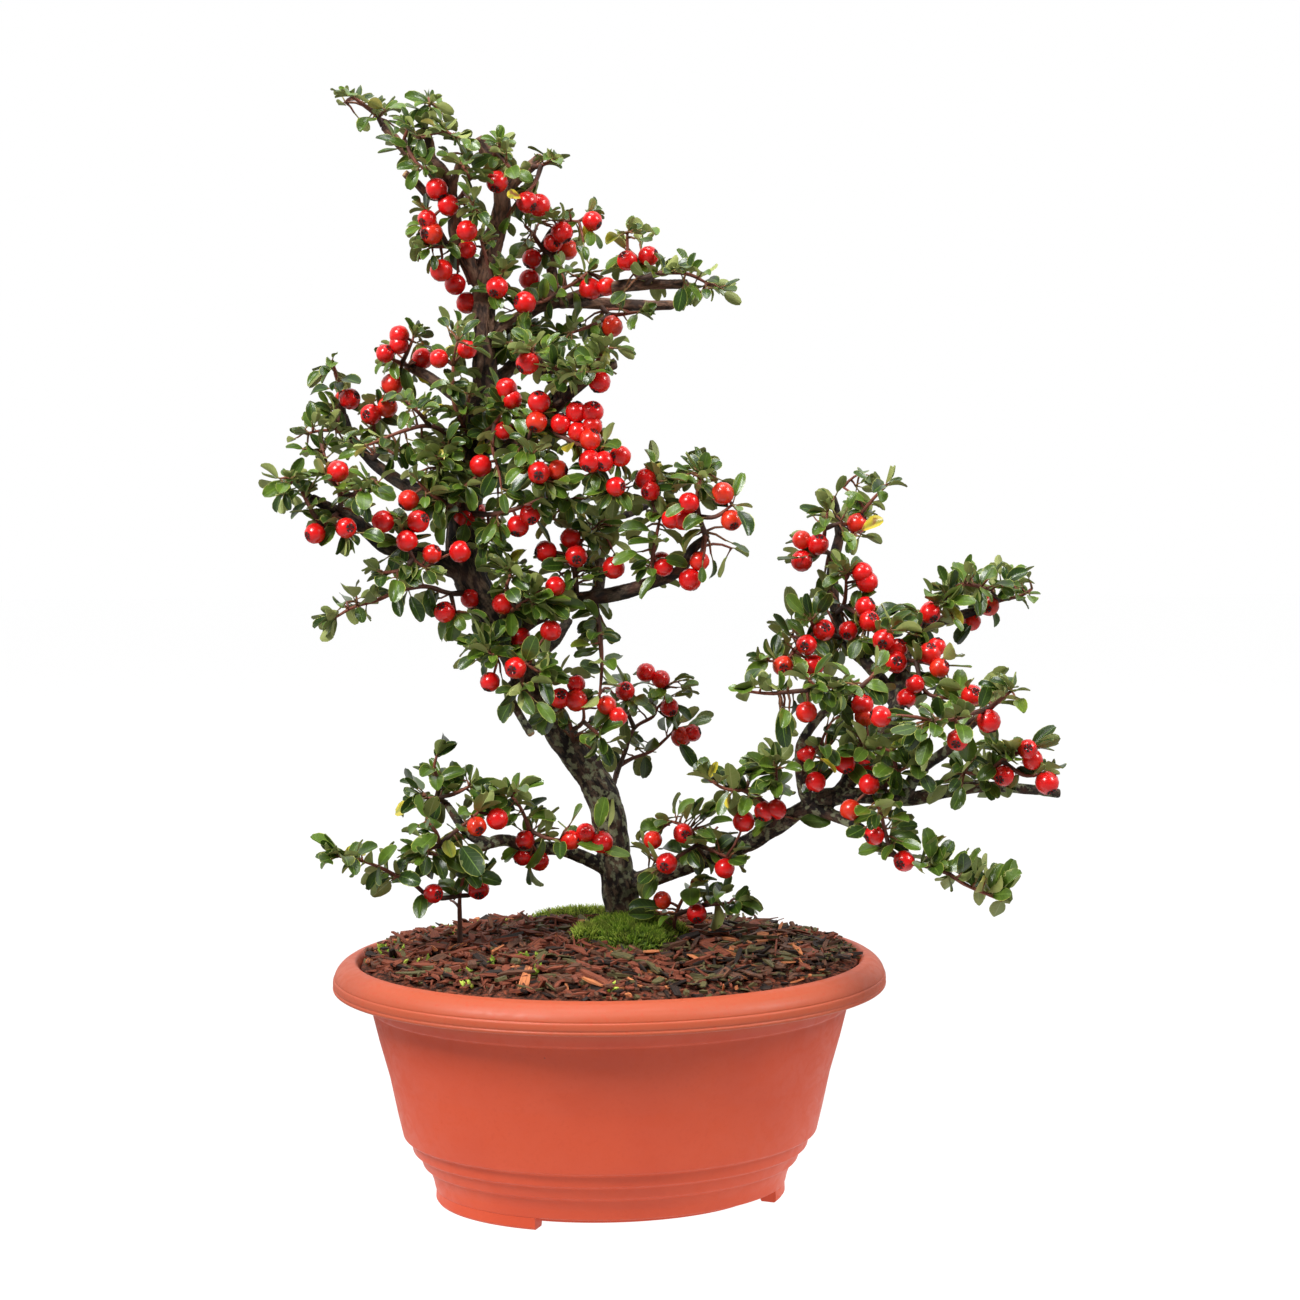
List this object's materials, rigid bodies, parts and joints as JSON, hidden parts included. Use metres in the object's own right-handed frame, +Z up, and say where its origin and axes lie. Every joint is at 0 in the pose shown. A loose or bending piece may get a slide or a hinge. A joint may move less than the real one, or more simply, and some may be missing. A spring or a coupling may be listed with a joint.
{
  "type": "cotoneaster bonsai",
  "caption": "Small-leaved cotoneaster grown as a bonsai, with a leaning trunk, leafy sprays and red berries, standing in an oval footed plastic pot of bark-covered soil.",
  "frame": {"origin": "under the middle of the whole object's box, on the surface that the pot's feet stand on", "axes": "+Z up along the tree, +X along the pot's long side to the right as seen from the front, +Y away from the front"},
  "size_m": [0.3288, 0.207, 0.4778],
  "materials": {
    "pot": "satin terracotta-coloured plastic",
    "soil": "damp shredded bark",
    "moss": "matt green moss",
    "bark": "rough dark bark",
    "leaf": "leathery semi-gloss leaf",
    "twig": "smooth red-brown twig",
    "berry": "glossy red berry",
    "sepal": "dry dark sepals"
  },
  "bodies": {
    "root": {"arch_leaves": "leaf", "centre_hanging": "leaf", "centre_rosettes": "leaf", "crown_fork_leaves": "leaf", "crown_leader_top": "leaf", "crown_left_low": "leaf", "crown_left_tip": "leaf", "crown_left_upper": "leaf", "crown_middle": "leaf", "crown_right_centre": "leaf", "crown_right_end": "leaf", "crown_right_low": "leaf", "crown_right_tips": "leaf", "crown_trunk_front": "leaf", "front_rosettes": "leaf", "left_bottom": "leaf", "left_centre": "leaf", "left_high_leaves": "leaf", "left_low_inner": "leaf", "left_low_middle": "leaf", "left_low_outer": "leaf", "left_middle_front": "leaf", "left_twigs": "leaf", "left_upper": "leaf", "low_left_end": "leaf", "low_left_inner": "leaf", "low_left_top": "leaf", "low_right_base": "leaf", "low_right_soil": "leaf", "low_right_upper": "leaf", "moss_behind_trunk": "moss", "moss_round_trunk": "moss", "pad_front": "leaf", "pad_left_up": "leaf", "pot": "pot", "right_end_leaves": "leaf", "right_far_leaves": "leaf", "right_middle_end": "leaf", "right_middle_front": "leaf", "right_middle_inner": "leaf", "right_top_leaves": "leaf", "right_trail_leaves": "leaf", "right_twig_leaves": "leaf", "right_upper_end": "leaf", "right_upper_middle": "leaf", "small_right_leaves": "leaf", "soil": "soil", "soil_shoots": "leaf", "thin_hanging": "leaf", "trunk": "bark", "trunk_left_front": "leaf", "trunk_low_right": "leaf", "trunk_right_front": "leaf", "upper_left_pad": "leaf", "vee_base_front": "leaf", "vee_base_right": "leaf", "vee_leaves": "leaf"}
  },
  "joints": []
}
